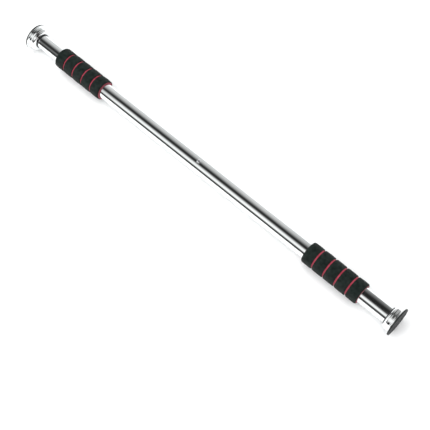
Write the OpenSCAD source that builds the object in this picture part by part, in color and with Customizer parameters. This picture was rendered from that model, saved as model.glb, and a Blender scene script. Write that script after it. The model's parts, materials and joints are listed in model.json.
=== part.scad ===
// Telescopic doorway pull-up bar with a screw drive inside.
// The bar lies along X. The origin is midway between the two rubber faces, on the bar's axis.
// Its drawn state is the one it is sold in: drive_out can still be screwed out, drive_in back in.

/* [Bar] */
// Length over the two rubber faces, as drawn
total_len = 815; // [715:5:1000]
// Outside diameter of the outer tube
outer_d = 28; // [26:0.5:34]
// Wall of the outer tube
outer_wall = 0.8; // [0.6:0.1:1.2]
// Wall of the inner tube
inner_wall = 1.0; // [0.8:0.1:1.4]
// Wall of the guide bush between the two tubes
bush_wall = 0.4; // [0.3:0.1:0.8]

/* [Grips] */
// Thickness of the foam on the outer tube, red core and black bands together
foam_t = 5; // [4:0.5:10]
// Length of a foam grip
grip_len = 108.5; // [70:0.5:130]
// Thickness of the black bands, which is the depth of the grooves
groove_depth = 1.9; // [1:0.1:3]
// Width of a groove
groove_w = 2.8; // [1.5:0.1:5]
// Number of black bands on a grip
band_count = 5; // [3:1:7]
// Corner radius at the ends of a grip
grip_corner = 2.4; // [1:0.1:4]
// Bare tube between the left foot and the left grip
left_bare = 53.5; // [50:0.5:80]
// Bare tube between the right grip and the right foot
right_bare = 52; // [20:0.5:80]
// How far the outer tube's mouth sits inside the left grip
mouth_inset = 3; // [2.5:0.5:10]

/* [Feet] */
// Length of a foot, from its mouth to the rubber face
foot_len = 16; // [15.5:0.5:20]
// How far the skirt stands out from the outer tube
skirt_out = 6.5; // [6.2:0.1:10]
// How far the flange stands out from the skirt
flange_out = 4.25; // [3:0.05:8]
// Radius of the rounded shoulder
shoulder_r = 5.2; // [3:0.1:5.5]
// Wall of the chrome cap
cap_wall = 1.9; // [1.4:0.1:2.4]
// Thickness of the flange's rim
rim_t = 1.3; // [1:0.1:2]
// How far the rubber stands proud of the rim
pad_proud = 2.2; // [1.4:0.1:2.4]
// Depth of the rubber's seat in the rim
pad_seat = 0.9; // [0.5:0.1:1.0]
// Number of ring grooves in the rubber face
pad_grooves = 4; // [0:1:6]

/* [Screw drive] */
// Major diameter of the threaded rod
rod_d = 14; // [10:0.5:16]
// Lead of the thread
thread_lead = 4; // [3:0.5:5]
// Depth of the thread
thread_depth = 1.6; // [1:0.1:2.2]
// Length of the nut block
nut_len = 40; // [30:1:60]
// Place of the nut block along the bar
nut_x = -4; // [-40:1:40]
// Travel that is left for screwing out
drive_out = 180; // [100:5:180]
// Travel that is left for screwing in
drive_in = 45; // [20:1:48]

/* [Fasteners] */
// Pivot bolt shank
pivot_d = 8; // [6:0.5:10]
// Pivot bolt head
pivot_head_d = 13; // [11:0.5:15]
// Height of the pivot bolt head
pivot_head_h = 3.2; // [2.5:0.1:3.6]
// Lock nut across flats
lock_nut_af = 13; // [11:0.5:15]
// Lock nut height
lock_nut_h = 6.5; // [5:0.5:8]
// Cross pin through the inner tube, its plug and the rod
rod_pin_d = 4; // [3:0.5:5]
// Spring pin through the stop nut and the rod
stop_pin_d = 2.5; // [2:0.5:3]
// Shank of the screw that holds the nut block
nut_screw_d = 5; // [4:0.5:6]
// Head of that screw
nut_screw_head_d = 7.4; // [6.5:0.1:10]
// Height of that head
nut_screw_head_h = 2.0; // [1.2:0.1:3]
// Grub screw in a foot's skirt
grub_d = 4; // [3:0.5:4]
// Angle of the right foot's grub screw, from the top towards -Y
right_grub_angle = 49; // [0:1:359]
// Angle of the left foot's grub screw, from the top towards -Y
left_grub_angle = 180; // [0:1:359]

/* [Clearances] */
// Radial clearance of pieces that are fixed together
slip = 0.05; // [0.03:0.01:0.08]
// Radial clearance of pieces that turn or slide in each other
run = 0.06; // [0.04:0.01:0.1]
// Gap between the moving faces of a foot and of the bar
face_gap = 0.1; // [0.05:0.05:0.2]
// Radial gap between a tube and the mouth of its foot
mouth_gap = 0.35; // [0.3:0.05:0.5]

/* [Hidden] */
$fn = 96;
eps = 0.01;         // overshoot of a cutting tool
hex_fn = 6;

// Tubes, from the outside in
outer_id = outer_d - 2 * outer_wall;
bush_od = outer_id - 2 * slip;
bush_id = bush_od - 2 * bush_wall;
inner_d = bush_id - 2 * run;
inner_id = inner_d - 2 * inner_wall;

// Outsides that follow the outer tube
grip_d = outer_d + 2 * foam_t;
core_d = grip_d - 2 * groove_depth;
skirt_d = outer_d + 2 * skirt_out;
flange_d = skirt_d + 2 * flange_out;

// Places along the bar
mouth_x = total_len / 2 - foot_len;            // mouth of the right foot, the left one is at -mouth_x
left_grip_x = -mouth_x + left_bare;            // outer end of the left grip
right_grip_x = mouth_x - right_bare - grip_len;  // inner end of the right grip
tube_mouth_x = left_grip_x + mouth_inset;      // left end of the outer tube

// Guide ring, on the neck of the rod plug
ring_len = 5;
ring_wall = 3;
ring_side = 0.2;      // play of the ring along its neck
plug_flange_t = 3;    // flange of the rod plug
plug_body = 20;       // length of the rod plug inside the inner tube
drive_spare = 1;      // space left between plug and nut block when fully screwed in
ring_od = outer_id - 2 * run;
ring_id = ring_od - 2 * ring_wall;
neck_d = ring_id - 2 * run;
plug_face_x = nut_x - nut_len / 2 - drive_spare - drive_in;   // inner face of the rod plug
neck_x = plug_face_x - plug_flange_t - ring_len - 2 * ring_side; // inner end of the inner tube
rod_start_x = neck_x - plug_body;

// Stop at the free end of the rod
stop_t = 3;
stop_nut_h = 10;
stop_nut_af = 21;
stop_x = nut_x + nut_len / 2 + drive_out + face_gap;
rod_tail = 2;         // rod beyond the stop nut
rod_end_x = stop_x + stop_t + stop_nut_h + rod_tail;
rod_core_d = rod_d - 2 * thread_depth;

// Foot, measured from its mouth towards the rubber
tube_in = 0.2 * foot_len;       // tube end inside the mouth
mouth_lip = 0.15 * foot_len;    // depth of the mouth's own bore
plug_rim_t = 1.5;     // rim of the end plug
end_plug_len = 18;    // end plug inside its tube
thrust_t = 0.8;
bolt_washer_t = 1.0;
bush_t = 1.5;         // wall of the pivot bush
hub_socket_d = 17;    // counterbore of the hub, round the bolt head
pad_roof = 1.2;       // rubber left over the bolt head
head_room = 1.5;      // free space between the bolt head and the rubber
spigot_len = 1.2;     // plug of the rubber inside the cap
lip_flat = 0.3;       // flat left at the mouth, inside the shoulder
flare_r = 1.6;        // fillet from the skirt to the flange
rim_end = foot_len - pad_proud;
seat_at = rim_end - pad_seat;
spigot_at = seat_at - spigot_len;
head_end = foot_len - pad_roof - head_room;
head_at = head_end - pivot_head_h;
washer_at = head_at - bolt_washer_t;
hub_at = tube_in + plug_rim_t + thrust_t + face_gap;
hub_len = spigot_at - face_gap - hub_at;
bush_len = washer_at - face_gap - hub_at;
cavity_d = skirt_d - 2 * cap_wall;
grub_at = hub_at + 1.9;
shoulder = min(shoulder_r, skirt_out - mouth_gap - lip_flat);

chrome = [0.86, 0.87, 0.88];
steel = [0.62, 0.63, 0.65];
black = [0.12, 0.12, 0.13];
red = [0.72, 0.08, 0.16];
white_nylon = [0.90, 0.89, 0.84];
brass = [0.78, 0.62, 0.30];

// ---- helpers ----

// Puts a shape that stands on Z along the bar, with its base at x
module along(x) {
    translate([x, 0, 0]) rotate([0, 90, 0]) children();
}

// Puts a foot's shape, drawn from its mouth towards +Z, at one end: side is 1 or -1
module at_end(side) {
    if (side > 0) along(mouth_x) children();
    else mirror([1, 0, 0]) along(mouth_x) children();
}

// A hollow cylinder on Z
module ring(od, id, h) {
    difference() {
        cylinder(d = od, h = h);
        translate([0, 0, -eps]) cylinder(d = id, h = h + 2 * eps);
    }
}

// A hexagon prism on Z
module hexagon(af, h) {
    cylinder(d = af / cos(180 / hex_fn), h = h, $fn = hex_fn);
}

// Points of a quarter circle, centre (cx, cy), from angle a to b
function arc(cx, cy, r, a, b, n = 10) =
    [for (i = [0:n]) [cx + r * cos(a + (b - a) * i / n), cy + r * sin(a + (b - a) * i / n)]];

// ---- outer tube and what is fixed in it ----

module outer_tube() {
    color(chrome)
    difference() {
        along(tube_mouth_x) ring(outer_d, outer_id, mouth_x + tube_in - tube_mouth_x);
        translate([nut_x, 0, 0]) cylinder(d = nut_screw_d + 2 * slip, h = outer_d);
    }
}

bush_len_tube = 30;   // guide bush inside the outer tube
bush_flange_t = 2;
module mouth_bush() {
    color(black) {
        along(tube_mouth_x - bush_flange_t) ring(outer_d - 2 * slip, bush_id, bush_flange_t);
        along(tube_mouth_x - eps) ring(bush_od, bush_id, bush_len_tube);
    }
}

nut_wall_left = 1.2;  // nut block left between the screw's end and the bore
module nut_block() {
    screw_end = rod_d / 2 + run + nut_wall_left;
    color(steel)
    difference() {
        along(nut_x - nut_len / 2) ring(outer_id - 2 * slip, rod_d + 2 * run, nut_len);
        translate([nut_x, 0, screw_end]) cylinder(d = nut_screw_d + 2 * slip, h = outer_d);
    }
}

slot_w = 0.9;         // cross recess of the screw
module nut_screw() {
    foot = rod_d / 2 + run + nut_wall_left + slip;
    top = outer_d / 2 + slip;
    dome_r = (pow(nut_screw_head_d / 2, 2) + pow(nut_screw_head_h, 2)) / (2 * nut_screw_head_h);
    color(steel)
    translate([nut_x, 0, 0])
    difference() {
        union() {
            translate([0, 0, foot]) cylinder(d = nut_screw_d, h = top - foot + eps);
            translate([0, 0, top]) intersection() {
                cylinder(d = nut_screw_head_d, h = nut_screw_head_h);
                translate([0, 0, nut_screw_head_h - dome_r]) sphere(r = dome_r);
            }
        }
        for (a = [0, 90])
            rotate([0, 0, a + 20])
                translate([-nut_screw_head_d / 3, -slot_w / 2, top + nut_screw_head_h * 0.45])
                    cube([nut_screw_head_d / 1.5, slot_w, nut_screw_head_h]);
    }
}

// ---- foam grips ----

module grip_core(x) {
    color(red) along(x) ring(core_d, outer_d + 2 * slip, grip_len);
}

module grip_bands(x) {
    band = (grip_len - (band_count - 1) * groove_w) / band_count;
    id = core_d + 2 * slip;
    color(black)
    for (i = [0:band_count - 1])
        along(x + i * (band + groove_w))
            difference() {
                grip_band_outside(band, i == 0, i == band_count - 1);
                translate([0, 0, -eps]) cylinder(d = id, h = band + 2 * eps);
            }
}

// One black band: its outside is rounded where the grip ends
module grip_band_outside(band, first, last) {
    small = 0.5;
    r0 = first ? grip_corner : small;
    r1 = last ? grip_corner : small;
    rotate_extrude()
        polygon(concat(
            [[0, 0]],
            arc(grip_d / 2 - r0, r0, r0, -90, 0),
            arc(grip_d / 2 - r1, band - r1, r1, 0, 90),
            [[0, band]]));
}

module left_grip_core() grip_core(left_grip_x);
module left_grip_bands() grip_bands(left_grip_x);
module right_grip_core() grip_core(right_grip_x);
module right_grip_bands() grip_bands(right_grip_x);

// ---- inner tube and the screw drive ----

module guide_ring() {
    color(white_nylon)
    along(neck_x + ring_side) ring(ring_od, ring_id, ring_len);
}

module inner_tube() {
    len = mouth_x + tube_in + neck_x;
    color(chrome)
    difference() {
        along(-mouth_x - tube_in) ring(inner_d, inner_id, len);
        rod_pin_hole();
    }
}

rod_pin_x = neck_x - plug_body / 2;
module rod_pin_hole() {
    translate([rod_pin_x, outer_d, 0]) rotate([90, 0, 0])
        cylinder(d = rod_pin_d + 2 * slip, h = 2 * outer_d);
}

module rod_plug() {
    color(steel)
    difference() {
        union() {
            along(rod_start_x) cylinder(d = inner_id - 2 * slip, h = plug_body);
            along(neck_x - eps) cylinder(d = neck_d, h = ring_len + 2 * ring_side + 2 * eps);
            along(plug_face_x - plug_flange_t) cylinder(d = inner_d, h = plug_flange_t);
        }
        along(rod_start_x - eps) cylinder(d = rod_d + 2 * slip, h = plug_face_x - rod_start_x + 2 * eps);
        rod_pin_hole();
    }
}

module rod_pin() {
    sunk = 0.1;       // pin below the tube's surface
    len = inner_d - 2 * sunk;
    color(steel)
    translate([rod_pin_x, len / 2, 0]) rotate([90, 0, 0]) cylinder(d = rod_pin_d, h = len);
}

// The thread is drawn as rings of the thread's profile, one per lead
module threaded_rod() {
    plain = plug_face_x - rod_start_x + thread_lead;      // plain shank held in the plug
    chamfer = 1;
    turns = floor((rod_end_x - rod_start_x - plain - chamfer) / thread_lead);
    crest = 0.37 * thread_lead;
    flank = 0.13 * thread_lead;
    threaded = turns * thread_lead;
    color(steel)
    difference() {
        along(rod_start_x) rotate_extrude()
            polygon(concat(
                [[0, 0], [rod_d / 2, 0]],
                [for (i = [0:turns - 1]) each [
                    [rod_d / 2, plain + i * thread_lead],
                    [rod_core_d / 2, plain + i * thread_lead + flank],
                    [rod_core_d / 2, plain + (i + 1) * thread_lead - crest - flank],
                    [rod_d / 2, plain + (i + 1) * thread_lead - crest]]],
                [[rod_d / 2, plain + threaded], [rod_core_d / 2, rod_end_x - rod_start_x],
                 [0, rod_end_x - rod_start_x]]));
        rod_pin_hole();
        stop_pin_hole();
    }
}

module stop_washer() {
    color(steel)
    along(stop_x) ring(outer_id - 1, rod_d + 2 * slip, stop_t);
}

module stop_nut() {
    color(steel)
    difference() {
        along(stop_x + stop_t + slip) hexagon(stop_nut_af, stop_nut_h);
        along(stop_x) cylinder(d = rod_d + 2 * slip, h = stop_nut_h + 2 * stop_t);
        stop_pin_hole();
    }
}

stop_pin_x = stop_x + stop_t + stop_nut_h / 2;
module stop_pin_hole() {
    translate([stop_pin_x, outer_d, 0]) rotate([90, 0, 0])
        cylinder(d = stop_pin_d + 2 * slip, h = 2 * outer_d);
}

module stop_pin() {
    color(steel)
    translate([stop_pin_x, stop_nut_af / 2, 0]) rotate([90, 0, 0])
        cylinder(d = stop_pin_d, h = stop_nut_af);
}

// ---- foot pivot: pieces fixed to the end of a tube ----

module end_plug(tube_d, tube_id) {
    color(steel)
    difference() {
        union() {
            translate([0, 0, tube_in - end_plug_len])
                cylinder(d = tube_id - 2 * slip, h = end_plug_len + plug_rim_t / 2);
            translate([0, 0, tube_in]) cylinder(d = tube_d - 2 * slip, h = plug_rim_t);
        }
        translate([0, 0, tube_in - end_plug_len - eps])
            cylinder(d = pivot_d + 2 * slip, h = end_plug_len + plug_rim_t + 2 * eps);
    }
}

module pivot_bolt() {
    shank_end = tube_in - end_plug_len - lock_nut_h - 2;
    socket_af = pivot_d * 0.62;
    color(steel)
    difference() {
        union() {
            translate([0, 0, shank_end]) cylinder(d = pivot_d, h = head_at - shank_end + eps);
            translate([0, 0, head_at]) cylinder(d = pivot_head_d, h = pivot_head_h - 0.8);
            translate([0, 0, head_end - 0.8])
                cylinder(d1 = pivot_head_d, d2 = pivot_head_d - 1.6, h = 0.8);
        }
        translate([0, 0, head_at + 1]) hexagon(socket_af, pivot_head_h);
    }
}

module bolt_washer() {
    color(steel) translate([0, 0, washer_at])
        ring(hub_socket_d - 1, pivot_d + 2 * slip, bolt_washer_t);
}

module thrust_washer(tube_d) {
    color(white_nylon) translate([0, 0, tube_in + plug_rim_t])
        ring(tube_d - 3, pivot_d + 2 * slip, thrust_t);
}

module lock_nut() {
    color(steel) translate([0, 0, tube_in - end_plug_len - lock_nut_h])
        difference() {
            hexagon(lock_nut_af, lock_nut_h);
            translate([0, 0, -eps]) cylinder(d = pivot_d + 2 * slip, h = lock_nut_h + 2 * eps);
        }
}

dust_w = 1.4;         // dust ring along the tube
dust_t = 1.1;         // dust ring over the tube
dust_r = 0.5;         // its rounded edges
module dust_ring(tube_d) {
    gap = 0.3;        // clear of the foot, which turns
    r = tube_d / 2 + slip;
    color(black) translate([0, 0, -gap - dust_w])
        rotate_extrude()
            polygon(concat(
                [[r, 0]],
                arc(r + dust_t - dust_r, dust_r, dust_r, -90, 0, 6),
                arc(r + dust_t - dust_r, dust_w - dust_r, dust_r, 0, 90, 6),
                [[r, dust_w]]));
}

// ---- foot: pieces that turn together on the pivot ----

// A foot is drawn on Z and then laid along X, which takes its -X side to the top of the bar
module grub_hole(angle, from_r) {
    rotate([0, 0, 180 + angle])
        translate([from_r, 0, grub_at]) rotate([0, 90, 0])
            cylinder(d = grub_d + 2 * slip, h = skirt_d);
}

module foot_cap(tube_d, angle) {
    mouth_r = tube_d / 2 + mouth_gap;
    lip_r = skirt_d / 2 - shoulder;
    flare_at = rim_end - rim_t - flare_r;
    difference() {
        color(chrome) rotate_extrude()
            polygon(concat(
                [[mouth_r, 0]],
                arc(lip_r, shoulder, shoulder, -90, 0, 12),
                [[skirt_d / 2, flare_at]],
                arc(skirt_d / 2 + flare_r, flare_at, flare_r, 180, 90, 8),
                arc(flange_d / 2 - rim_t / 2, rim_end - rim_t / 2, rim_t / 2, -90, 90, 8),
                [[flange_d / 2 - rim_t, rim_end], [flange_d / 2 - rim_t, seat_at],
                 [cavity_d / 2, seat_at], [cavity_d / 2, mouth_lip], [mouth_r, mouth_lip]]));
        grub_hole(angle, cavity_d / 2 - 1);
    }
}

grub_depth = 3;       // grub screw's seat in the hub
module foot_hub(angle) {
    od = cavity_d - 2 * slip;
    color(black)
    difference() {
        translate([0, 0, hub_at]) cylinder(d = od, h = hub_len);
        translate([0, 0, hub_at - eps])
            cylinder(d = pivot_d + 2 * run + 2 * bush_t + 2 * slip, h = hub_len + 2 * eps);
        translate([0, 0, hub_at + bush_len]) cylinder(d = hub_socket_d, h = hub_len);
        grub_hole(angle, od / 2 - grub_depth);
    }
}

module foot_bush() {
    color(brass) translate([0, 0, hub_at])
        ring(pivot_d + 2 * run + 2 * bush_t, pivot_d + 2 * run, bush_len);
}

grub_sunk = 0.4;      // grub screw below the skirt
module grub_screw(angle) {
    inner = cavity_d / 2 - grub_depth;
    len = skirt_d / 2 - grub_sunk - inner;
    color(steel)
    rotate([0, 0, 180 + angle])
        translate([inner, 0, grub_at]) rotate([0, 90, 0])
            difference() {
                cylinder(d = grub_d, h = len);
                translate([0, 0, len - 1.6]) hexagon(grub_d / 2, 2);
            }
}

module foot_pad() {
    seat_r = flange_d / 2 - rim_t - slip;
    groove = 0.6;
    edge = 0.4; // soft edge of the disc that covers the rim
    pitch = (seat_r - 5) / (pad_grooves + 1);
    color(black) rotate_extrude()
        difference() {
            union() {
                polygon([[0, rim_end], [flange_d / 2 - edge, rim_end],
                    [flange_d / 2, rim_end + edge], [flange_d / 2, foot_len - edge],
                    [flange_d / 2 - edge, foot_len], [0, foot_len]]);
                translate([0, seat_at]) square([seat_r, foot_len - seat_at - eps]);
                translate([0, spigot_at]) square([cavity_d / 2 - slip, seat_at - spigot_at + eps]);
            }
            // pocket over the bolt head
            translate([0, spigot_at - eps])
                square([hub_socket_d / 2, foot_len - pad_roof - spigot_at]);
            // ring grooves in the face
            if (pad_grooves > 0)
                for (i = [1:pad_grooves])
                    translate([5 + i * pitch - groove, foot_len - groove])
                        square([2 * groove, 2 * groove]);
        }
}

module left_end_plug() at_end(-1) end_plug(inner_d, inner_id);
module left_pivot_bolt() at_end(-1) pivot_bolt();
module left_bolt_washer() at_end(-1) bolt_washer();
module left_thrust_washer() at_end(-1) thrust_washer(inner_d);
module left_lock_nut() at_end(-1) lock_nut();
module left_dust_ring() at_end(-1) dust_ring(inner_d);
module left_foot_cap() at_end(-1) foot_cap(inner_d, left_grub_angle);
module left_foot_hub() at_end(-1) foot_hub(left_grub_angle);
module left_foot_bush() at_end(-1) foot_bush();
module left_grub_screw() at_end(-1) grub_screw(left_grub_angle);
module left_foot_pad() at_end(-1) foot_pad();

module right_end_plug() at_end(1) end_plug(outer_d, outer_id);
module right_pivot_bolt() at_end(1) pivot_bolt();
module right_bolt_washer() at_end(1) bolt_washer();
module right_thrust_washer() at_end(1) thrust_washer(outer_d);
module right_lock_nut() at_end(1) lock_nut();
module right_dust_ring() at_end(1) dust_ring(outer_d);
module right_foot_cap() at_end(1) foot_cap(outer_d, right_grub_angle);
module right_foot_hub() at_end(1) foot_hub(right_grub_angle);
module right_foot_bush() at_end(1) foot_bush();
module right_grub_screw() at_end(1) grub_screw(right_grub_angle);
module right_foot_pad() at_end(1) foot_pad();

outer_tube();
mouth_bush();
nut_block();
nut_screw();
left_grip_core();
left_grip_bands();
right_grip_core();
right_grip_bands();
guide_ring();
inner_tube();
rod_plug();
rod_pin();
threaded_rod();
stop_washer();
stop_nut();
stop_pin();
left_end_plug();
left_pivot_bolt();
left_bolt_washer();
left_thrust_washer();
left_lock_nut();
left_dust_ring();
left_foot_cap();
left_foot_hub();
left_foot_bush();
left_grub_screw();
left_foot_pad();
right_end_plug();
right_pivot_bolt();
right_bolt_washer();
right_thrust_washer();
right_lock_nut();
right_dust_ring();
right_foot_cap();
right_foot_hub();
right_foot_bush();
right_grub_screw();
right_foot_pad();
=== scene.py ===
# %% [markdown]
# # A doorway pull-up bar
# Two chrome tubes slide in each other and press a rubber-faced foot against each side of a
# doorway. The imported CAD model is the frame: it says where every piece is and how it moves.
# This script adds the looks, which are the chrome, the foam grips and the moulded rubber.

import json
import math

import bmesh
import bpy
from mathutils import Matrix, Vector, noise


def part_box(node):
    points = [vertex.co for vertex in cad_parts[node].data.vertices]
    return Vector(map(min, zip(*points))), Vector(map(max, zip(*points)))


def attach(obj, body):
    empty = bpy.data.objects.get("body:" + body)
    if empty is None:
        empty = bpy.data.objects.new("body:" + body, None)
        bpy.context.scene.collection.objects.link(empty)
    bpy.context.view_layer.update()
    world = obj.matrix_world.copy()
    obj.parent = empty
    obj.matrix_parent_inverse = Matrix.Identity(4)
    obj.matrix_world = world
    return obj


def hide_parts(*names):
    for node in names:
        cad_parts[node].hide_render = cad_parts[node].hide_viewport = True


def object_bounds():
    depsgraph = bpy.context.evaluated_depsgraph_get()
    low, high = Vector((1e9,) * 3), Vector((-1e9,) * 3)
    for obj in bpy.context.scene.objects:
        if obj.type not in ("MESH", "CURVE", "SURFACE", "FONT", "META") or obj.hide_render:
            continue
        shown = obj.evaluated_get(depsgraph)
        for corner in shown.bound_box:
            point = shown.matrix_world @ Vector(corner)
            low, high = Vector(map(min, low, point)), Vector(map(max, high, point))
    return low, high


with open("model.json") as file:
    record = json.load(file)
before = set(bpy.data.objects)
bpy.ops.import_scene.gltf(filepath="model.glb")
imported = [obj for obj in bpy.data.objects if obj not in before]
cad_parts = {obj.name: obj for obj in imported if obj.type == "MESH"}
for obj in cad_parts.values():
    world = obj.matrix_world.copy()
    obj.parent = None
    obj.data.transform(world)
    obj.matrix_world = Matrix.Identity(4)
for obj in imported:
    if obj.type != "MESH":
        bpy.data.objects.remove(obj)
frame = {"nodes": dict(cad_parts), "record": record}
cad_low, cad_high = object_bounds()
MM = 0.001

# %% [markdown]
# ## Camera
# A long lens looks down the bar from above its near end, a little rolled, so the bar runs
# across the frame from corner to corner. The place and the two directions are enough to build
# the camera's matrix: its columns are right, up and back.

# %% Camera
CAMERA_PLACE = Vector((0.5542, -0.4534, 1.3168))
CAMERA_LOOK = Vector((-0.32735, 0.27690, -0.90342)).normalized()
CAMERA_UP = Vector((-0.59462, 0.68269, 0.42470))
CAMERA_ANGLE = 26.79

camera = bpy.data.objects.new("camera", bpy.data.cameras.new("camera"))
camera.data.angle = math.radians(CAMERA_ANGLE)
camera_right = CAMERA_LOOK.cross(CAMERA_UP).normalized()
camera_up = camera_right.cross(CAMERA_LOOK)
camera.matrix_world = Matrix.Translation(CAMERA_PLACE) @ Matrix(
    (camera_right, camera_up, -CAMERA_LOOK)).transposed().to_4x4()
bpy.context.scene.collection.objects.link(camera)
bpy.context.scene.camera = camera
print("camera", [round(c, 3) for c in camera.location], "angle", CAMERA_ANGLE)

# %% [markdown]
# ## Node helpers
# A material is a small graph. Four helpers add a node with its settings, wire sockets, make a
# colour ramp and do a sum, so that each finish below reads as a short recipe.

# %% Node helpers


def node(tree, kind, inputs=None, **settings):
    made = tree.nodes.new(kind)
    for key, value in settings.items():
        setattr(made, key, value)
    for key, value in (inputs or {}).items():
        made.inputs[key].default_value = value
    return made


def wire(tree, *pairs):
    for source, target in pairs:
        tree.links.new(source, target)


def ramp(tree, stops):
    made = node(tree, "ShaderNodeValToRGB")
    elements = made.color_ramp.elements
    while len(elements) < len(stops):
        elements.new(0.5)
    for element, (place, shade) in zip(elements, stops):
        element.position = place
        element.color = (*shade, 1) if isinstance(shade, tuple) else (shade, shade, shade, 1)
    return made


def maths(tree, operation, first, second=None):
    made = node(tree, "ShaderNodeMath", operation=operation)
    for slot_number, value in enumerate((first, second)):
        if isinstance(value, bpy.types.NodeSocket):
            wire(tree, (value, made.inputs[slot_number]))
        elif value is not None:
            made.inputs[slot_number].default_value = value
    return made.outputs[0]


# %% [markdown]
# ## Studio
# Chrome shows only what stands round it. A studio for such tubes is a white tent with a soft
# box and dark strips along the bar: the strips draw the long black lines that make a tube look
# round and polished. The world shader stands in for the tent. It turns each direction into an
# angle round the bar, from straight up towards the viewer's side, and a ramp gives the
# brightness at that angle. The tent isn't the same all along: there are three ramps, for the
# left end, the middle and the right end, and the direction along the bar mixes them. A fourth,
# whiter ramp stands beyond both ends for the feet, and a viewer who looks the other way along
# the bar sees the middle one again. One dark slot across the bar draws thin rings on the feet.

# %% Angle round the bar
world = bpy.data.worlds.new("studio_tent")
bpy.context.scene.world = world
world.use_nodes = True
sky = world.node_tree
sky.nodes.clear()
direction = node(sky, "ShaderNodeSeparateXYZ")
wire(sky, (node(sky, "ShaderNodeTexCoord").outputs["Generated"], direction.inputs[0]))
along_bar, towards_back, upwards = direction.outputs
round_bar = maths(sky, "ARCTAN2", maths(sky, "MULTIPLY", towards_back, -1.0), upwards)

as_share = maths(sky, "ADD", maths(sky, "DIVIDE", round_bar, 2 * math.pi), 0.5)

# %% Brightness of the tent, by angle in degrees
TENT_LEFT = ((-150, 0.85), (-90, 0.82), (-62, 0.76), (-42, 0.64), (-23, 0.40), (-6, 0.12),
             (8, 0.02), (24, 0.03), (36, 0.12), (46, 0.22), (56, 0.12), (66, 0.04), (84, 0.03),
             (95, 0.30), (106, 0.60), (125, 1.0))
TENT_MIDDLE = ((-150, 0.95), (-96, 0.92), (-74, 0.77), (-54, 0.64), (-40, 0.52), (-26, 0.28),
               (-12, 0.06), (-2, 0.02), (10, 0.04), (20, 0.28), (30, 0.85), (38, 1.1), (54, 1.1),
               (61, 0.70), (68, 0.14), (74, 0.03), (86, 0.03), (94, 0.45), (104, 0.95))
TENT_RIGHT = ((-150, 0.90), (-96, 0.66), (-76, 0.30), (-58, 0.18), (-44, 0.11), (-30, 0.04),
              (-16, 0.018), (8, 0.022), (17, 0.07), (25, 0.40), (34, 1.0), (51, 1.15),
              (59, 0.50), (67, 0.06), (74, 0.02), (81, 0.04), (89, 0.35), (100, 0.90), (117, 0.95))
TENT_BEYOND = ((-150, 0.95), (-112, 0.55), (-90, 0.42), (-66, 0.22), (-45, 0.07), (-28, 0.04),
               (-14, 0.10), (-4, 0.55), (8, 0.95), (60, 1.05), (100, 1.0))
LEFT_TO_MIDDLE = (-0.54, -0.47)
MIDDLE_TO_RIGHT = (-0.26, -0.15)
RIGHT_TO_BEYOND = (-0.112, -0.085)
BEYOND_TO_LEFT = (-0.64, -0.60)
BEYOND_TO_FRONT = (-0.04, 0.03)
SLOT = ((0.0, 1.0), (0.875, 1.0), (0.90, 0.06), (0.95, 0.06), (0.97, 0.9), (1.0, 1.0))


def tent_ramp(stops):
    made = ramp(sky, [(angle / 360 + 0.5, shade) for angle, shade in stops])
    wire(sky, (as_share, made.inputs[0]))
    return made.outputs["Color"]


def mixed(first, second, span):
    """first at the span's start along the bar, second at its end."""
    share = node(sky, "ShaderNodeMapRange", {"From Min": span[0], "From Max": span[1]})
    made = node(sky, "ShaderNodeMix", data_type="RGBA")
    wire(sky, (along_bar, share.inputs["Value"]), (share.outputs[0], made.inputs["Factor"]),
         (first, made.inputs["A"]), (second, made.inputs["B"]))
    return made.outputs["Result"]


left, middle, right, beyond = map(tent_ramp, (TENT_LEFT, TENT_MIDDLE, TENT_RIGHT, TENT_BEYOND))
tent = mixed(beyond, mixed(mixed(mixed(left, middle, LEFT_TO_MIDDLE), right, MIDDLE_TO_RIGHT),
                           beyond, RIGHT_TO_BEYOND), BEYOND_TO_LEFT)
tent = mixed(tent, middle, BEYOND_TO_FRONT)
slot = ramp(sky, SLOT)
slotted = node(sky, "ShaderNodeMix", {"Factor": 1.0}, data_type="RGBA", blend_type="MULTIPLY")
wire(sky, (maths(sky, "ADD", maths(sky, "MULTIPLY", along_bar, 0.5), 0.5), slot.inputs[0]),
     (tent, slotted.inputs["A"]), (slot.outputs["Color"], slotted.inputs["B"]))
tent_light = node(sky, "ShaderNodeBackground", {"Strength": 1.0})
plain_light = node(sky, "ShaderNodeBackground", {"Color": (0.93, 0.94, 0.95, 1), "Strength": 1.0})
sky_mix = node(sky, "ShaderNodeMixShader")
wire(sky, (slotted.outputs["Result"], tent_light.inputs["Color"]),
     (node(sky, "ShaderNodeLightPath").outputs["Is Camera Ray"], sky_mix.inputs[0]),
     (tent_light.outputs[0], sky_mix.inputs[1]), (plain_light.outputs[0], sky_mix.inputs[2]),
     (sky_mix.outputs[0], node(sky, "ShaderNodeOutputWorld").inputs["Surface"]))
bpy.context.scene.view_settings.view_transform = "Standard"
print("tent with", len(TENT_LEFT + TENT_MIDDLE + TENT_RIGHT + TENT_BEYOND), "stops")

# %% [markdown]
# Two broad lamps lift the floor and the foam to a studio's white. They are hidden from
# reflections, so the chrome keeps only the tent's own lines.

# %% Lamps


def lamp(name, place, aim, size, power):
    made = bpy.data.objects.new(name, bpy.data.lights.new(name, "AREA"))
    made.data.shape = "DISK"
    made.data.size = size
    made.data.energy = power
    made.location = place
    made.rotation_euler = (Vector(aim) - Vector(place)).to_track_quat("-Z", "Y").to_euler()
    made.visible_glossy = False
    bpy.context.scene.collection.objects.link(made)


lamp("overhead_lamp", (0.0, 0.1, 2.8), (0, 0, 0), 4.0, 112)
lamp("side_lamp", (-1.0, -1.8, 1.6), (0, 0, 0), 2.0, 26)

# %% [markdown]
# ## Floor
# The bar lies on its two flanges. The floor is one plain pale sheet under them, with a faint
# mottling, so it isn't a dead flat colour.

# %% Floor
FLOOR_HALF = 6.0
FLOOR_GAP = 0.2 * MM

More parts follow.
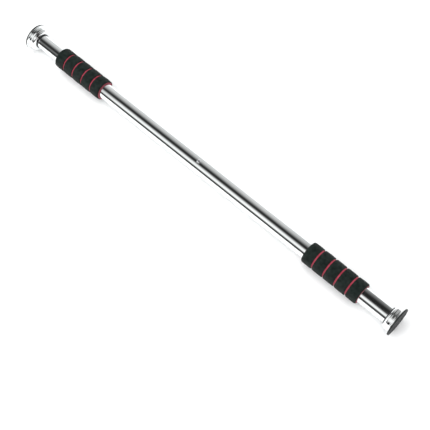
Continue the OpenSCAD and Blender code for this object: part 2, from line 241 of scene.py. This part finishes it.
floor_mesh = bpy.data.meshes.new("floor")
shape = bmesh.new()
bmesh.ops.create_grid(shape, x_segments=2, y_segments=2, size=FLOOR_HALF,
                      matrix=Matrix.Translation((0, 0, cad_low.z - FLOOR_GAP)))
shape.to_mesh(floor_mesh)
shape.free()
floor = bpy.data.objects.new("floor", floor_mesh)
bpy.context.scene.collection.objects.link(floor)
floor_paint = bpy.data.materials.new("pale_floor")
floor_paint.use_nodes = True
tree = floor_paint.node_tree
mottle = node(tree, "ShaderNodeTexNoise", {"Scale": 3.0, "Detail": 2.0})
mottle_shade = ramp(tree, [(0.3, (0.895, 0.900, 0.905)), (0.7, (0.915, 0.920, 0.925))])
shader = tree.nodes["Principled BSDF"]
shader.inputs["Roughness"].default_value = 0.9
shader.inputs["Specular IOR Level"].default_value = 0.0
wire(tree, (node(tree, "ShaderNodeTexCoord").outputs["Object"], mottle.inputs["Vector"]),
     (mottle.outputs["Fac"], mottle_shade.inputs[0]),
     (mottle_shade.outputs[0], shader.inputs["Base Color"]))
floor.data.materials.append(floor_paint)

# %% [markdown]
# ## Finishes
# Every finish starts from one recipe: a colour that varies a little with a noise, a roughness
# that varies with it, and a bump at the finish's own grain. The grain's stretch says whether it
# is a drawn line along the bar, a turned ring round it, or plain cells.

# %% Finish recipe


def finish(name, colours, rough, grain=400.0, stretch=(1, 1, 1), bump=0.1, depth=0.02,
           metallic=0.0, patch=40.0, **constants):
    """colours and rough are (low, high) pairs; grain and patch are noise scales per metre."""
    made = bpy.data.materials.new(name)
    made.use_nodes = True
    tree = made.node_tree
    shader = tree.nodes["Principled BSDF"]
    place = node(tree, "ShaderNodeTexCoord").outputs["Object"]
    mapping = node(tree, "ShaderNodeMapping", {"Scale": stretch})
    fine = node(tree, "ShaderNodeTexNoise", {"Scale": grain, "Detail": 4.0, "Roughness": 0.6})
    broad = node(tree, "ShaderNodeTexNoise", {"Scale": patch, "Detail": 3.0})
    tint = ramp(tree, [(0.3, colours[0]), (0.7, colours[1])])
    gloss = ramp(tree, [(0.3, rough[0]), (0.7, rough[1])])
    relief = node(tree, "ShaderNodeBump", {"Strength": bump, "Distance": depth * MM})
    wire(tree, (place, mapping.inputs[0]), (mapping.outputs[0], fine.inputs["Vector"]),
         (place, broad.inputs["Vector"]), (broad.outputs["Fac"], tint.inputs[0]),
         (fine.outputs["Fac"], gloss.inputs[0]), (fine.outputs["Fac"], relief.inputs["Height"]),
         (tint.outputs[0], shader.inputs["Base Color"]),
         (gloss.outputs[0], shader.inputs["Roughness"]),
         (relief.outputs[0], shader.inputs["Normal"]))
    shader.inputs["Metallic"].default_value = metallic
    for key, value in constants.items():
        shader.inputs[key.replace("_", " ")].default_value = value
    return made


# %% [markdown]
# Bright chrome is nearly a mirror. Drawing the steel leaves lines along the tube that the
# plating follows, so the tube's grain is stretched along the bar, while the die-cast caps are
# polished evenly and have a softer, rounder unevenness.

# %% Metals
finishes = {
    "chrome_tube": finish("chrome_tube", ((0.80, 0.83, 0.83), (0.88, 0.90, 0.90)), (0.03, 0.08),
                          grain=900, stretch=(0.02, 1, 1), bump=0.05, metallic=1.0, patch=12),
    "chrome_cap": finish("chrome_cap", ((0.82, 0.84, 0.84), (0.89, 0.91, 0.91)), (0.03, 0.09),
                         grain=250, bump=0.04, depth=0.05, metallic=1.0, patch=60),
    "steel": finish("steel", ((0.42, 0.43, 0.45), (0.56, 0.57, 0.59)), (0.28, 0.42),
                    grain=1500, stretch=(1, 0.05, 0.05), bump=0.2, metallic=1.0),
    "steel_thread": finish("steel_thread", ((0.34, 0.34, 0.34), (0.50, 0.50, 0.51)), (0.20, 0.38),
                           grain=700, bump=0.2, metallic=1.0, patch=90),
    "zinc_screw": finish("zinc_screw", ((0.66, 0.68, 0.71), (0.80, 0.80, 0.80)), (0.16, 0.30),
                         grain=1200, bump=0.1, metallic=1.0, patch=500),
    "black_steel": finish("black_steel", ((0.018, 0.018, 0.020), (0.05, 0.05, 0.055)), (0.3, 0.5),
                          grain=1600, bump=0.2, metallic=1.0, patch=600),
    "brass": finish("brass", ((0.62, 0.43, 0.16), (0.78, 0.58, 0.26)), (0.22, 0.36),
                    grain=1300, stretch=(1, 0.05, 0.05), bump=0.15, metallic=1.0),
}
print(len(finishes), "metals")

# %% [markdown]
# Foam is closed cells: tiny pits that scatter the light, with a skin that is a little greyer
# where it is rubbed. Rubber and nylon are moulded, so their grain is finer and shallower. A
# thin sheen gives the foam the soft pale edge that cells have at a low angle.

# %% Foam, rubber and nylon
finishes.update({
    "black_foam": finish("black_foam", ((0.002, 0.005, 0.004), (0.011, 0.017, 0.015)), (0.75, 0.95),
                         grain=1500, bump=0.6, depth=0.25, patch=160, Sheen_Weight=0.04,
                         Sheen_Roughness=0.5, Specular_IOR_Level=0.25),
    "red_foam": finish("red_foam", ((0.24, 0.016, 0.032), (0.35, 0.042, 0.072)), (0.7, 0.9),
                       grain=1500, bump=0.6, depth=0.25, patch=160,
                       Sheen_Weight=0.15, Sheen_Roughness=0.5),
    "grey_rubber": finish("grey_rubber", ((0.010, 0.011, 0.011), (0.034, 0.037, 0.037)),
                          (0.45, 0.7), grain=1800, bump=0.35, depth=0.06, patch=220,
                          Specular_IOR_Level=0.2),
    "black_rubber": finish("black_rubber", ((0.010, 0.010, 0.011), (0.024, 0.024, 0.026)),
                           (0.4, 0.6), grain=1800, bump=0.25, depth=0.04, patch=250),
    "black_nylon": finish("black_nylon", ((0.014, 0.014, 0.016), (0.032, 0.032, 0.034)),
                          (0.35, 0.55), grain=1100, bump=0.2, depth=0.04, patch=120),
    "white_nylon": finish("white_nylon", ((0.70, 0.68, 0.61), (0.80, 0.79, 0.73)), (0.35, 0.5),
                          grain=1100, bump=0.2, depth=0.04, patch=120),
})
for subpart in frame["record"]["subparts"]:
    cad_node = frame["nodes"][subpart["node"]]
    cad_node.data.materials.clear()
    cad_node.data.materials.append(finishes[subpart["material_slot"]])
print(len(frame["nodes"]), "CAD nodes have", len(finishes), "finishes")

# %% [markdown]
# ## Turned pieces
# Tubes, caps, grips and pads are all round the bar's axis. Such a piece is turned on a lathe or
# moulded in a round tool, and one outline spun round the axis gives it exactly. The outline is
# a closed loop of (place along the bar, radius) points. A spin is better here than a cylinder
# with edits, because every fillet and groove is already in the outline.

# %% Turn an outline
SHARP = math.radians(32)
SPIN_STEPS = 144
FINE_STEPS = 160


def arc(x, r, radius, start, end, steps=8):
    """Points of an arc about (x, r), from one angle to another in degrees."""
    turns = [math.radians(start + (end - start) * i / steps) for i in range(steps + 1)]
    return [(x + radius * math.cos(a), r + radius * math.sin(a)) for a in turns]


def turned(outline, steps=SPIN_STEPS):
    """Spins a closed outline, in metres, round the bar's axis."""
    shape = bmesh.new()
    corners = [shape.verts.new((x, 0, r)) for x, r in outline]
    edges = [shape.edges.new((a, b)) for a, b in zip(corners, corners[1:] + corners[:1])]
    bmesh.ops.spin(shape, geom=corners + edges, cent=(0, 0, 0), axis=(1, 0, 0),
                   angle=2 * math.pi, steps=steps, use_merge=True)
    bmesh.ops.remove_doubles(shape, verts=shape.verts, dist=1e-6)
    bmesh.ops.recalc_face_normals(shape, faces=shape.faces)
    return shape


def piece(name, shape, body, material_slot, *cad_nodes):
    """Makes the shape an object that rides a body and stands for its CAD nodes."""
    mesh = bpy.data.meshes.new(name)
    shape.to_mesh(mesh)
    shape.free()
    mesh.polygons.foreach_set("use_smooth", [True] * len(mesh.polygons))
    mesh.set_sharp_from_angle(angle=SHARP)
    made = bpy.data.objects.new(name, mesh)
    bpy.context.scene.collection.objects.link(made)
    made.data.materials.append(finishes[material_slot])
    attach(made, body)
    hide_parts(*cad_nodes)
    print(name, len(mesh.polygons), "faces")
    return made


# %% [markdown]
# ## Chrome tubes
# Both tubes are drawn steel, plated bright. Each is a wall between two radii with its cut ends
# slightly rounded. A ring of edges every few centimetres keeps the faces short, and one close
# to each end keeps the rounding out of the long faces' smooth shading.

# %% Chrome tubes
OUTER_WALL = 0.8 * MM
INNER_WALL = 1.0 * MM
END_ROUND = 0.25 * MM
RING_EVERY = 0.04


def tube(name, cad_name, wall, body):
    low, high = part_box(cad_name)
    outside = high.z
    inside = outside - wall
    rings = int((high.x - low.x) / RING_EVERY)
    stations = [low.x + (high.x - low.x) * i / rings for i in range(1, rings)]
    stations = [low.x + 2 * END_ROUND, *stations, high.x - 2 * END_ROUND]
    outline = (arc(low.x + END_ROUND, outside - END_ROUND, END_ROUND, 180, 90, 3)
               + [(x, outside) for x in stations]
               + arc(high.x - END_ROUND, outside - END_ROUND, END_ROUND, 90, 0, 3)
               + [(high.x, inside)] + [(x, inside) for x in reversed(stations)]
               + [(low.x, inside)])
    return piece(name, turned(outline), body, "chrome_tube", cad_name)


tube("outer_tube_chrome", "outer_tube", OUTER_WALL, "main_tube")
tube("inner_tube_chrome", "inner_tube", INNER_WALL, "extension_tube")

# %% [markdown]
# ## Foam grips
# A grip is a red foam sleeve with a black one over it, and four grooves cut through the black
# show the red. Real foam is never straight: each band crowns a little, its cut edges are soft
# and it has small dents. The outline gives the crown and the edges, and a noise moves the
# vertices a tenth of a millimetre or two, more than a bump could show at the silhouette.

# %% Measures of a grip
BANDS = 5
GROOVE = 2.8 * MM
GROOVE_DEPTH = 1.9 * MM
BAND_EDGE = 0.7 * MM
GRIP_CORNER = 2.4 * MM
CROWN = 0.35 * MM
DENT = 0.22 * MM
FIT_GAP = 0.05 * MM
CORE_EDGE = 0.6 * MM
CORE_RINGS = 60
CORE_STEPS = 120


def dented(shape, amount, seed):
    """Moves each vertex along its normal by a noise of two sizes."""
    shape.normal_update()
    for vert in shape.verts:
        spot = vert.co * 90 + Vector((seed, 0, 0))
        fine = vert.co * 420 + Vector((0, seed, 0))
        vert.co += vert.normal * amount * (0.7 * noise.noise(spot) + 0.3 * noise.noise(fine))


def band_outline(start, end, inside, outside, first, last):
    """One black band: bored inside, crowned outside, with soft or fully rounded edges."""
    r0 = GRIP_CORNER if first else BAND_EDGE
    r1 = GRIP_CORNER if last else BAND_EDGE
    flat = [start + r0 + (end - r1 - start - r0) * i / 12 for i in range(1, 12)]
    middle, half = (start + end) / 2, (end - start) / 2

    def crowned(x):
        return outside - CROWN * ((x - middle) / half) ** 2

    crown = [(x, crowned(x)) for x in flat]
    base0, base1 = crowned(start + r0), crowned(end - r1)
    walls = max(2, int((outside - inside) / MM))
    down = [(end, base1 - r1 - (base1 - r1 - inside) * i / walls) for i in range(1, walls + 1)]
    bore = [(end + (start - end) * i / 10, inside) for i in range(1, 11)]
    up = [(start, inside + (base0 - r0 - inside) * i / walls) for i in range(1, walls)]
    return (arc(start + r0, base0 - r0, r0, 180, 90) + crown
            + arc(end - r1, base1 - r1, r1, 90, 0) + down + bore + up)


# %% Red and black foam of both grips
for number, side in enumerate(("left", "right")):
    black_low, black_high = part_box(f"{side}_grip_bands")
    core_low, core_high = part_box(f"{side}_grip_core")
    tube_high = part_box("outer_tube")[1]
    length = black_high.x - black_low.x
    band = (length - (BANDS - 1) * GROOVE) / BANDS
    black = bmesh.new()
    for i in range(BANDS):
        start = black_low.x + i * (band + GROOVE)
        one = turned(band_outline(start, start + band, core_high.z + FIT_GAP,
                                  black_high.z, i == 0, i == BANDS - 1), FINE_STEPS)
        dented(one, DENT, 11 * i + 5 * number)
        holder = bpy.data.meshes.new("band")
        one.to_mesh(holder)
        black.from_mesh(holder)
        one.free()
        bpy.data.meshes.remove(holder)
    black_foam = piece(f"{side}_grip_black_foam", black, "main_tube", "black_foam",
                       f"{side}_grip_bands")

    bore = tube_high.z + FIT_GAP
    edge_radius = core_high.z - CORE_EDGE
    top = [core_low.x + CORE_EDGE + (length - 2 * CORE_EDGE) * i / CORE_RINGS
           for i in range(1, CORE_RINGS)]
    red = turned(arc(core_low.x + CORE_EDGE, edge_radius, CORE_EDGE, 180, 90, 4)
                 + [(x, core_high.z) for x in top]
                 + arc(core_high.x - CORE_EDGE, edge_radius, CORE_EDGE, 90, 0, 4)
                 + [(core_high.x, bore), (core_low.x, bore)], CORE_STEPS)
    red_foam = piece(f"{side}_grip_red_foam", red, "main_tube", "red_foam", f"{side}_grip_core")

# %% [markdown]
# ## Chrome foot caps
# A cap is a die-cast bell: a small lip round the tube, a rounded shoulder, a skirt that narrows
# by a hair and a thin flange that flares out with a fillet. Every radius is in the outline. A
# small hole for the grub screw is cut with a boolean afterwards, because it crosses the skirt
# sideways.

# %% Measures of a cap
SHOULDER = 5.2 * MM
FLANGE_OUT = 4.25 * MM
CAP_WALL = 1.9 * MM
RIM = 1.3 * MM
SEAT = 0.9 * MM
FLARE = 1.6 * MM
MOUTH_GAP = 0.35 * MM
MOUTH_LIP = 2.4 * MM
EDGE = 0.25 * MM
WAIST = 0.4 * MM


def cap_outline(mouth, rim_end, tube_radius, flange, side):
    """The bell's outline, from its mouth to its rim. side is 1 on the right and -1 on the left."""
    skirt = flange - FLANGE_OUT
    mouth_radius = tube_radius + MOUTH_GAP
    lip = skirt - SHOULDER
    length = (rim_end - mouth) * side
    flare = length - RIM - FLARE
    local = ([(EDGE, mouth_radius)] + [(0, mouth_radius + EDGE)]
             + arc(SHOULDER, lip, SHOULDER, 180, 90, 16)
             + [(SHOULDER + (flare - SHOULDER) * i / 4, skirt - WAIST * i / 4) for i in range(1, 4)]
             + [(flare + FLARE * math.sin(a), skirt - WAIST + FLARE * (1 - math.cos(a)))
                for a in (math.radians(90 * i / 10) for i in range(11))]
             + arc(length - RIM / 2, flange - RIM / 2, RIM / 2, 180, 0, 12)
             + [(length, flange - RIM), (length - SEAT, flange - RIM),
                (length - SEAT, skirt - CAP_WALL), (MOUTH_LIP, skirt - CAP_WALL),
                (MOUTH_LIP, mouth_radius)])
    return [(mouth + side * x, r) for x, r in local]


# %% Caps with their grub-screw holes
GRUB_HOLE = 2.05 * MM
DRILL_LENGTH = 8 * MM
DRILL_OUT = 2 * MM
DRILL_SIDES = 32

for side, sign, tube_name in (("left", -1, "inner_tube"), ("right", 1, "outer_tube")):
    low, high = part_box(f"{side}_foot_cap")
    mouth, rim_end = (low.x, high.x) if sign > 0 else (high.x, low.x)
    tube_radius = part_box(tube_name)[1].z
    cap = piece(f"{side}_cap_chrome",
                turned(cap_outline(mouth, rim_end, tube_radius, high.z, sign), FINE_STEPS),
                f"{side}_foot", "chrome_cap", f"{side}_foot_cap")
    screw_low, screw_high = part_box(f"{side}_grub_screw")
    centre = (screw_low + screw_high) / 2
    outward = Vector((0, centre.y, centre.z)).normalized()
    drill = bmesh.new()
    bmesh.ops.create_cone(drill, cap_ends=True, segments=DRILL_SIDES, radius1=GRUB_HOLE,
                          radius2=GRUB_HOLE, depth=DRILL_LENGTH,
                          matrix=Matrix.Translation(centre + outward * DRILL_OUT)
                          @ outward.to_track_quat("Z", "Y").to_matrix().to_4x4())
    drill_mesh = bpy.data.meshes.new("drill")
    drill.to_mesh(drill_mesh)
    drill.free()
    drill_object = bpy.data.objects.new("drill", drill_mesh)
    bpy.context.scene.collection.objects.link(drill_object)
    cut = cap.modifiers.new("grub_hole", "BOOLEAN")
    cut.object = drill_object
    cut.solver = "EXACT"
    bpy.context.view_layer.update()
    graph = bpy.context.evaluated_depsgraph_get()
    drilled = bpy.data.meshes.new_from_object(cap.evaluated_get(graph))
    cap.modifiers.clear()
    cap.data = drilled
    cap.data.set_sharp_from_angle(angle=SHARP)
    bpy.data.objects.remove(drill_object)
    print(cap.name, "drilled,", len(cap.data.polygons), "faces")

# %% [markdown]
# ## Rubber pads
# The pad is a moulded rubber disc. Its step sits in the flange, and the disc covers the rim, so
# the foot has a dark edge. Ring grooves in its face hold on a painted frame. Each groove has
# soft edges, as a mould has, and the disc's own two edges are rounded.

# %% Pads
PAD_GROOVES = 4
GROOVE_HALF = 0.6 * MM
SOFT = 0.3 * MM
PAD_FIRST = 5 * MM
POCKET = 8.5 * MM
POCKET_ROOF = 1.2 * MM
PAD_PROUD = 2.2 * MM
DISC_EDGE = 0.4 * MM
SLIP = 0.05 * MM


def pad_outline(face, back, radius, side):
    seat_radius = radius - RIM - SLIP
    pitch = (seat_radius - PAD_FIRST) / (PAD_GROOVES + 1)
    spigot = radius - FLANGE_OUT - CAP_WALL - SLIP
    length = abs(face - back)
    rim_end = length - PAD_PROUD
    top = [(length, 0)]
    for i in range(1, PAD_GROOVES + 1):
        mid = PAD_FIRST + i * pitch
        top += [(length, mid - GROOVE_HALF - SOFT), (length - 0.3 * SOFT, mid - GROOVE_HALF),
                (length - GROOVE_HALF, mid - 0.6 * GROOVE_HALF),
                (length - GROOVE_HALF, mid + 0.6 * GROOVE_HALF),
                (length - 0.3 * SOFT, mid + GROOVE_HALF), (length, mid + GROOVE_HALF + SOFT)]
    local = (top + arc(length - DISC_EDGE, radius - DISC_EDGE, DISC_EDGE, 0, 90, 5)
             + arc(rim_end + DISC_EDGE, radius - DISC_EDGE, DISC_EDGE, 90, 180, 5)
             + [(rim_end, seat_radius), (rim_end - SEAT, seat_radius), (rim_end - SEAT, spigot),
                (0, spigot), (0, POCKET), (length - POCKET_ROOF, POCKET),
                (length - POCKET_ROOF, 0)])
    return [(back + side * x, r) for x, r in local]


for side, sign in (("left", -1), ("right", 1)):
    low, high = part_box(f"{side}_foot_pad")
    back, face = (low.x, high.x) if sign > 0 else (high.x, low.x)
    piece(f"{side}_pad_rubber", turned(pad_outline(face, back, high.z, sign)),
          f"{side}_foot", "grey_rubber", f"{side}_foot_pad")

# %% [markdown]
# ## Dust rings
# A soft black ring sits on each tube just outside its foot and keeps grit out of the joint. It
# is a plain ring with rounded edges, so its outline is two arcs and a bore.

# %% Dust rings
RING_EDGE = 0.5 * MM
for side, body, tube_name in (("left", "extension_tube", "inner_tube"),
                              ("right", "main_tube", "outer_tube")):
    low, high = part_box(f"{side}_dust_ring")
    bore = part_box(tube_name)[1].z + SLIP
    outline = ([(low.x, bore)]
               + arc(low.x + RING_EDGE, high.z - RING_EDGE, RING_EDGE, 180, 90, 6)
               + arc(high.x - RING_EDGE, high.z - RING_EDGE, RING_EDGE, 90, 0, 6)
               + [(high.x, bore)])
    piece(f"{side}_dust_ring_rubber", turned(outline), body, "black_rubber",
          f"{side}_dust_ring")
